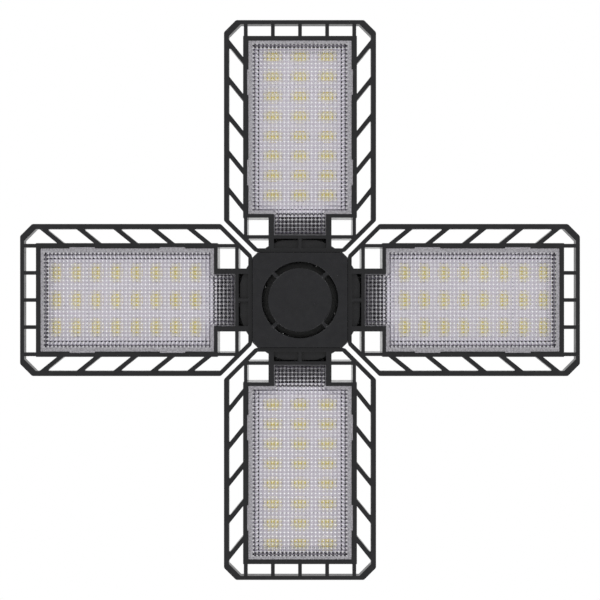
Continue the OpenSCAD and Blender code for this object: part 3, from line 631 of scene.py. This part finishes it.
def lens_mesh():
    """The prismatic cover as one closed solid: prisms, flat flange, snap tabs and rim."""
    bm = bmesh.new()
    field_edge = add_prisms(bm)
    front, foot = LENS_Z
    back = front + PLATE_T
    with_tabs, plain = lens_outline(TAB_OUT), lens_outline(0.0)
    loops = [loop_at(bm, with_tabs, front), loop_at(bm, with_tabs, back),
             loop_at(bm, plain, back), loop_at(bm, plain, foot)]
    fill(bm, field_edge + loop_edges(bm, loops[0]))
    for low, high in zip(loops, loops[1:]):
        add_band(bm, low, high, FROSTED)
    inner_foot = loop_at(bm, hollow_outline(), foot)
    inner_back = loop_at(bm, hollow_outline(), back)
    bmesh.ops.remove_doubles(bm, verts=loops[1] + loops[2], dist=WELD)
    fill(bm, loop_edges(bm, loops[3]) + loop_edges(bm, inner_foot))
    add_band(bm, inner_foot, inner_back, FROSTED)
    bm.faces.new(inner_back).material_index = CLEAR
    return finished(bm, "lens_mesh")


# ---------------------------------------------------------------- LED board

BODY, GEL, PAD, MARK = 0, 1, 2, 3       # numbers of an LED package's materials
BODY_EDGE = 0.12                        # cut of the body's front edges
GEL_INSET = (0.12, 0.15)                # gel's distance from the body's sides
GEL_EDGE = 0.08
GEL_OUT, GEL_IN = 0.1, 0.02             # how far it stands before the body, and reaches into it
PAD_IN, PAD_OUT = 0.05, 0.65            # solder, from under the body's end to outside it
PAD_HALF, PAD_H, PAD_EDGE = 1.1, 0.3, 0.25
MARK_OUT = 1.0                          # the dark outline goes on from the solder to here
MARK_HALF, MARK_H = 1.3, 0.04

LINE, JOINT = 0, 1                      # numbers of the board details' materials
TRACE_R = 137.0                         # a dark trace runs across the board here
TRACE_W, TRACE_H = 0.5, 0.03
TRACE_END = 1.0                         # its ends' distance from the board's sides

JOINT_R, JOINT_W = 60.4, 1.6            # where the two leads are soldered on
JOINT_RADIUS = 1.1
JOINT_SHAPE = (1.2, 0.9, 0.7)           # stretch of the joint along, across and in height


def led_places():
    """The middle of each LED, along and across the panel."""
    for i in range(LED_ROWS):
        for j in range(LED_COLS):
            yield FIRST_LED_R + i * LED_ROW_PITCH, (j - (LED_COLS - 1) / 2) * LED_COL_PITCH


def chips_mesh():
    """LED packages: white body, domed yellow gel, solder fillets and pad outlines."""
    bm = bmesh.new()
    front, board = CHIPS_Z
    body_front = front + GEL_OUT
    for r, w in led_places():
        add_block(bm, around(r, LED_L / 2), around(w, LED_W / 2), (body_front, board),
                  BODY, BODY_EDGE)
        add_block(bm, around(r, LED_L / 2 - GEL_INSET[0]), around(w, LED_W / 2 - GEL_INSET[1]),
                  (front, body_front + GEL_IN), GEL, GEL_EDGE)
        for side in (-1, 1):
            end = w + side * LED_W / 2
            pad = sorted((end - side * PAD_IN, end + side * PAD_OUT))
            mark = sorted((end + side * PAD_OUT, end + side * MARK_OUT))
            add_block(bm, around(r, PAD_HALF), pad, (board - PAD_H, board), PAD, PAD_EDGE)
            add_block(bm, around(r, MARK_HALF), mark, (board - MARK_H, board), MARK)
    return finished(bm, "led_chips_mesh")


def board_details_mesh():
    """The trace across the board and the two solder joints of the leads."""
    bm = bmesh.new()
    top = BOARD_Z[0]
    add_block(bm, around(TRACE_R, TRACE_W / 2),
              (BOARD_W[0] + TRACE_END, BOARD_W[1] - TRACE_END), (top - TRACE_H, top), LINE)
    for side in (-1, 1):
        place = Matrix.Translation(point(JOINT_R, side * JOINT_W, top))
        made = bmesh.ops.create_icosphere(bm, subdivisions=2, radius=JOINT_RADIUS * MM,
                                          matrix=place @ Matrix.Diagonal((*JOINT_SHAPE, 1.0)))
        for face in {face for v in made["verts"] for face in v.link_faces}:
            face.material_index = JOINT
            face.smooth = True
    return finished(bm, "board_details_mesh")


# ---------------------------------------------------------------- screw shell

THREAD_PITCH = 3.63
THREAD_DEPTH = 0.9
THREAD_START = 1.4                      # height above the shell's foot where it starts
THREAD_RISE = 1.2                       # length over which it comes to its full depth
SHOULDER_H = 1.6                        # height of the drawn-in shoulder at the shell's top
SHOULDER_IN = 3.4                       # how far the shoulder draws in
SHOULDER_POWER = 1.5                    # 1 would make it a straight cone
SHEET_T = 0.35                          # thickness of the sheet
CREST_GAP = 0.05                        # between the crests and the CAD shell's outside
SHELL_RINGS, SHELL_STEPS = 96, 72       # divisions in height and round the shell
SHELL_Z = tuple(corner.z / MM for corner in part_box("screw_shell"))
SHELL_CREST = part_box("screw_shell")[1].x / MM - CREST_GAP


def clamped(share):
    return min(1.0, max(0.0, share))


def shell_radius(z, turn):
    """Outer radius in mm at height z, with turn going from 0 to 1 round the shell."""
    above_foot, below_top = z - SHELL_Z[0], SHELL_Z[1] - z
    lead_in = clamped((above_foot - THREAD_START) / THREAD_RISE)
    lead_out = clamped((below_top - SHOULDER_H) / SHOULDER_H)
    shoulder = SHOULDER_IN * clamped((SHOULDER_H - below_top) / SHOULDER_H) ** SHOULDER_POWER
    groove = 0.5 + 0.5 * math.cos(2 * math.pi * (z / THREAD_PITCH - turn))
    depth = THREAD_DEPTH * (groove * lead_in * lead_out + 1 - lead_out)
    return SHELL_CREST - depth - shoulder


def shell_loop(bm, z, inset):
    """Corners round the shell at height z, inset mm inside its outer surface."""
    loop = []
    for k in range(SHELL_STEPS):
        turn = k / SHELL_STEPS
        r, angle = shell_radius(z, turn) - inset, 2 * math.pi * turn
        loop.append(bm.verts.new(Vector((r * math.cos(angle), r * math.sin(angle), z)) * MM))
    return loop


def shell_mesh():
    """The screw shell with a true helical thread, rolled in thin sheet."""
    bm = bmesh.new()
    low, high = SHELL_Z
    heights = [low + (high - low) * i / SHELL_RINGS for i in range(SHELL_RINGS + 1)]
    outer = [shell_loop(bm, z, 0.0) for z in heights]
    inner = [shell_loop(bm, z, SHEET_T) for z in heights]
    for surface in (outer, inner):
        for a, b in zip(surface, surface[1:]):
            add_band(bm, a, b, smooth=True)
    for end in (0, -1):
        add_band(bm, outer[end], inner[end])
    return finished(bm, "screw_shell_mesh")


# ---------------------------------------------------------------- CAD pieces with rounded edges

SHARP = math.radians(32)                # edges that turn more than this are rounded
CREASE = math.radians(50)               # edges that still turn more than this stay sharp
CAD_WELD = 2e-6                         # corners of a CAD mesh closer than this are one


def rounded_mesh(node, width):
    """A copy of the node's mesh whose sharp edges are rounded by width mm."""
    bm = bmesh.new()
    bm.from_mesh(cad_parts[node].data)
    bmesh.ops.remove_doubles(bm, verts=bm.verts, dist=CAD_WELD)
    edges = [e for e in bm.edges if len(e.link_faces) == 2 and e.calc_face_angle(0.0) > SHARP]
    bmesh.ops.bevel(bm, geom=edges, offset=width * MM, segments=2, profile=0.5,
                    affect="EDGES", clamp_overlap=False, loop_slide=True)
    for face in bm.faces:
        face.smooth = True
    for edge in bm.edges:
        edge.smooth = len(edge.link_faces) < 2 or edge.calc_face_angle(0.0) < CREASE
    bmesh.ops.triangulate(bm, faces=[face for face in bm.faces if len(face.verts) > 4])
    return mesh_from(bm, node + "_rounded")


def weigh_normals(obj):
    """Shade the flat faces flat, so that only the rounded edges look round."""
    modifier = obj.modifiers.new("weighted", "WEIGHTED_NORMAL")
    modifier.keep_sharp = True


# ---------------------------------------------------------------- dress the model

def dressed(mesh, *materials):
    """Give a new mesh its materials, in the order of their numbers on its faces."""
    for material in materials:
        mesh.materials.append(material)
    return mesh


def repaint(node, material):
    """Give a CAD node this material in place of its plain one."""
    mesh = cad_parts[node].data
    mesh.materials.clear()
    mesh.materials.append(material)


def attach(obj, body, node=None):
    """Let a piece move with its body and stand for a CAD node."""
    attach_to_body(obj, body)
    if node:
        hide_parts(node)


def on_each_side(name, mesh, node=None):
    """Four turned copies of a panel_1 piece, one on each panel, for that panel's node."""
    pieces = []
    for i in SIDES:
        obj = new_object(f"panel_{i}_{name}", mesh)
        obj.matrix_world = Matrix.Rotation(math.radians(90 * (i - 1)), 4, "Z")
        attach(obj, f"panel_{i}", f"panel_{i}_{node}" if node else None)
        pieces.append(obj)
    return pieces


PANEL_FINISH = {"hinge_pin": STEEL, "friction_washers": STEEL,
                "back_screws": BLACK_OXIDE, "leads": INSULATION}
HUB_FINISH = {"shell_insulator": GLOSS_BLACK, "centre_contact": TIN, "base_neck": HUB_BLACK,
              "cap_screws": STEEL, "housing_screws": STEEL, "driver_board": BOARD_BLACK,
              "board_screws": STEEL, "driver_transformer": TAPE, "driver_capacitors": SLEEVE,
              "driver_small_parts": COMPONENT, "supply_wires": INSULATION,
              "hub_leads": INSULATION}
# name of a panel's piece, node, width of the rounding in mm, material, slot
ROUNDED_PANEL_PIECES = (("truss_frame", "frame", 0.14, FRAME_BLACK, "frame_black"),
                        ("finned_sink", "heat_sink", 0.2, ALUMINIUM, "sink_aluminium"))
ROUNDED_HUB_PIECES = (("front_cap", 0.35, CAP_BLACK, "cap_black"),
                      ("hinge_ring", 0.3, HUB_BLACK, "hub_black"),
                      ("driver_housing", 0.3, HUB_BLACK, "hub_black"))

for node, material in HUB_FINISH.items():
    repaint(node, material)
for i in SIDES:
    for node, material in PANEL_FINISH.items():
        repaint(f"panel_{i}_{node}", material)

on_each_side("prism_lens", dressed(lens_mesh(), LENS, FLANGE), "lens")
on_each_side("led_packages", dressed(chips_mesh(), LED_WHITE, PHOSPHOR, SOLDER, TRACE),
             "led_chips")
on_each_side("white_board", dressed(rounded_mesh("panel_1_led_board", 0.1), BOARD_WHITE),
             "led_board")
on_each_side("board_details", dressed(board_details_mesh(), TRACE, SOLDER))
for name, node, width, material, slot in ROUNDED_PANEL_PIECES:
    mesh = dressed(rounded_mesh("panel_1_" + node, width), material)
    for piece in on_each_side(name, mesh, node):
        weigh_normals(piece)

for node, width, material, slot in ROUNDED_HUB_PIECES:
    piece = new_object(node + "_moulded", dressed(rounded_mesh(node, width), material))
    weigh_normals(piece)
    attach(piece, "hub", node)
attach(new_object("threaded_shell", dressed(shell_mesh(), NICKEL)), "hub",
       "screw_shell")


# ---------------------------------------------------------------- camera, light and floor

IMAGE_SIZE = 600                        # pixels, both ways
PIXEL = 0.6375 * MM                     # size of one at the panels' front plane
CAMERA_DISTANCE = 0.65                  # from that plane
SENSOR = 36.0                           # width of the camera's sensor, in mm
LAMP_Z = -1.0                           # the lamps stand below the light
LAMP_SIZE = 0.45
LAMP_TARGET = Vector((0.0, 0.0, -0.05))
LAMPS = {"key": (0.6, -0.62, 4.4), "key_left": (-0.6, -0.62, 4.0),
         "fill": (0.6, 0.62, 3.4), "fill_left": (-0.6, 0.62, 3.4)}     # x, y and watts
FLOOR_Z = -1.9
FLOOR_RADIUS = 20.0
SKY_LOW, SKY_HIGH = 0.62, 1.0           # grey towards the floor, white above
SKY_FADE = (-0.5, 0.15)                 # Z of the directions where the fade starts and ends


def add_camera():
    """Camera square on to the panels' front, from below."""
    data = bpy.data.cameras.new("camera")
    data.sensor_width = SENSOR
    data.lens = SENSOR * CAMERA_DISTANCE / (IMAGE_SIZE * PIXEL)
    obj = new_object("camera", data)
    obj.location = (0.0, 0.0, FRONT - CAMERA_DISTANCE)
    obj.rotation_euler = (math.pi, 0.0, 0.0)
    bpy.context.scene.camera = obj


def add_lamp(name, x, y, strength):
    """Square soft lamp aimed at the light."""
    data = bpy.data.lights.new(name, "AREA")
    data.size = LAMP_SIZE
    data.energy = strength
    obj = new_object(name, data)
    obj.location = (x, y, LAMP_Z)
    obj.rotation_euler = (obj.location - LAMP_TARGET).to_track_quat("Z", "Y").to_euler()
    obj.visible_camera = False


def add_world():
    """White above the horizon, grey towards the floor."""
    world = bpy.data.worlds.new("studio")
    world.use_nodes = True
    tree = world.node_tree
    direction = add_node(tree, "TexCoord", {}).outputs["Generated"]
    up = add_node(tree, "SeparateXYZ", {"Vector": direction}).outputs["Z"]
    fade = add_node(tree, "MapRange", {"Value": up, "From Min": SKY_FADE[0],
                                       "From Max": SKY_FADE[1], "To Min": SKY_LOW,
                                       "To Max": SKY_HIGH})
    tree.links.new(fade.outputs["Result"], tree.nodes["Background"].inputs["Color"])
    bpy.context.scene.world = world


def add_floor():
    """Plain pale floor under the hanging light."""
    bm = bmesh.new()
    bmesh.ops.create_circle(bm, cap_ends=True, segments=64, radius=FLOOR_RADIUS,
                            matrix=Matrix.Translation((0, 0, FLOOR_Z)))
    f = Finish("floor_paint", (0.62, 0.62, 0.615), 0.7)
    f.tint(f.noise(400.0, 2.0), (0.59, 0.59, 0.585))
    new_object("floor", dressed(mesh_from(bm, "floor_mesh"), f.mat))


add_camera()
add_world()
add_floor()
for name, (x, y, strength) in LAMPS.items():
    add_lamp(name, x, y, strength)
bpy.context.scene.view_settings.view_transform = "Standard"
bpy.context.scene.view_settings.look = "None"
